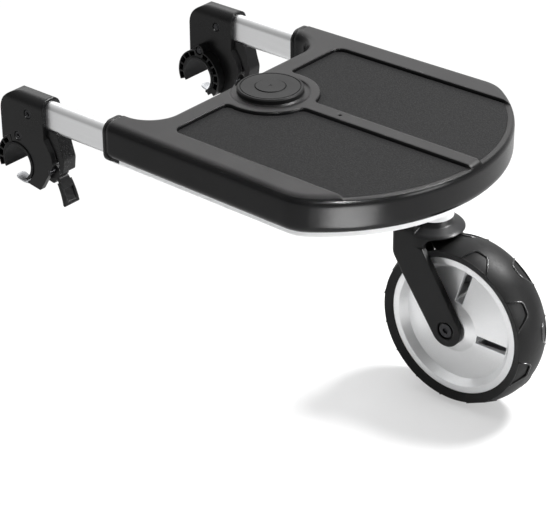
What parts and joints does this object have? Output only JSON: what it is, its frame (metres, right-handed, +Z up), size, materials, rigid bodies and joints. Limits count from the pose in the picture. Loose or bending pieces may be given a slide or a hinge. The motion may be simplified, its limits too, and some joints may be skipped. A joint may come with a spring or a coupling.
{
  "type": "buggy board",
  "caption": "Standing board on a swivelling caster that clamps behind a pushchair, with telescopic arms, lock dial and lever-locked axle clamps.",
  "frame": {"origin": "on the clamp axis, midway between the two clamps", "axes": "+X across the board to its right, +Y forward to the pushchair, +Z up"},
  "size_m": [0.3406, 0.5909, 0.275],
  "materials": {
    "black_plastic": "fine-grained moulded",
    "grip_pad": "fine-textured",
    "silver_plastic": "satin silver",
    "anodised": "satin anodised",
    "steel": "zinc plated",
    "black_steel": "black oxide",
    "liner": "matt grey",
    "rim": "painted silver",
    "tyre": "moulded rubber",
    "bush": "natural acetal"
  },
  "bodies": {
    "board": {"deck_shell": "black_plastic", "deck_tray": "silver_plastic", "grip_pad_left": "grip_pad", "grip_pad_right": "grip_pad", "arm_collar_left": "black_plastic", "arm_collar_right": "black_plastic", "tray_screws": "steel", "socket_screws": "steel", "caster_socket": "silver_plastic", "swivel_bushes": "bush"},
    "left_arm": {"tube_left": "anodised", "tube_plug_left": "bush", "clamp_bracket_left": "black_plastic", "clamp_jaw_left": "black_plastic", "jaw_liner_left": "liner", "lever_pin_left": "steel", "lever_guard_left": "black_plastic", "clamp_fasteners_left": "black_steel"},
    "left_band": {"hook_band_left": "steel", "band_strap_left": "black_plastic"},
    "left_lever": {"clamp_lever_left": "black_plastic"},
    "left_rod": {"lock_rod_left": "bush", "lock_shoe_left": "liner"},
    "right_arm": {"tube_right": "anodised", "tube_plug_right": "bush", "clamp_bracket_right": "black_plastic", "clamp_jaw_right": "black_plastic", "jaw_liner_right": "liner", "lever_pin_right": "steel", "lever_guard_right": "black_plastic", "clamp_fasteners_right": "black_steel"},
    "right_band": {"hook_band_right": "steel", "band_strap_right": "black_plastic"},
    "right_lever": {"clamp_lever_right": "black_plastic"},
    "right_rod": {"lock_rod_right": "bush", "lock_shoe_right": "liner"},
    "dial": {"lock_dial": "black_plastic", "dial_cam": "bush", "cam_screw": "steel", "button_spring": "steel"},
    "button": {"lock_button": "black_plastic"},
    "caster": {"caster_fork": "black_plastic", "kingpin": "steel", "king_nut": "steel", "thrust_washer": "bush", "axle_bolt": "black_steel", "axle_nut": "black_steel"},
    "wheel": {"wheel_rim": "rim", "tyre": "tyre", "wheel_bearings": "steel", "bearing_spacer": "anodised"}
  },
  "joints": [
    {"name": "left_arm_slide", "type": "slide", "parent": "board", "child": "left_arm", "axis": [0, 1, 0], "range_m": [-0.05, 0.04]},
    {"name": "left_band_run", "type": "hinge", "parent": "left_arm", "child": "left_band", "pos_m": [-0.15, 0, 0], "axis": [1, 0, 0], "range_deg": [-60, 25]},
    {"name": "left_lever_swing", "type": "hinge", "parent": "left_arm", "child": "left_lever", "pos_m": [-0.15, -0.0465, 0.001], "axis": [1, 0, 0], "range_deg": [-45, 35]},
    {"name": "right_arm_slide", "type": "slide", "parent": "board", "child": "right_arm", "axis": [0, 1, 0], "range_m": [-0.05, 0.04]},
    {"name": "right_band_run", "type": "hinge", "parent": "right_arm", "child": "right_band", "pos_m": [0.15, 0, 0], "axis": [1, 0, 0], "range_deg": [-60, 25]},
    {"name": "right_lever_swing", "type": "hinge", "parent": "right_arm", "child": "right_lever", "pos_m": [0.15, -0.0465, 0.001], "axis": [1, 0, 0], "range_deg": [-45, 35]},
    {"name": "dial_turn", "type": "hinge", "parent": "board", "child": "dial", "pos_m": [0, -0.2144, 0.08], "axis": [0, 0, 1], "range_deg": [0, 60]},
    {"name": "left_rod_draw", "type": "slide", "parent": "board", "child": "left_rod", "axis": [1, 0, 0], "range_m": [0, 0.004]},
    {"name": "right_rod_draw", "type": "slide", "parent": "board", "child": "right_rod", "axis": [-1, 0, 0], "range_m": [0, 0.004]},
    {"name": "button_press", "type": "slide", "parent": "dial", "child": "button", "axis": [0, 0, -1], "range_m": [0, 0.003], "stiffness_N_per_m": 400, "deforming": ["button_spring"]},
    {"name": "caster_swivel", "type": "hinge", "parent": "board", "child": "caster", "pos_m": [0, -0.4273, 0.03], "axis": [0, 0, 1], "continuous": true},
    {"name": "wheel_spin", "type": "hinge", "parent": "caster", "child": "wheel", "pos_m": [0, -0.4704, -0.0914], "axis": [1, 0, 0], "continuous": true}
  ],
  "couplings": [
    {"joint": "left_rod_draw", "follows": "dial_turn", "m_per_rad": 0.0038197},
    {"joint": "right_rod_draw", "follows": "dial_turn", "m_per_rad": 0.0038197}
  ]
}
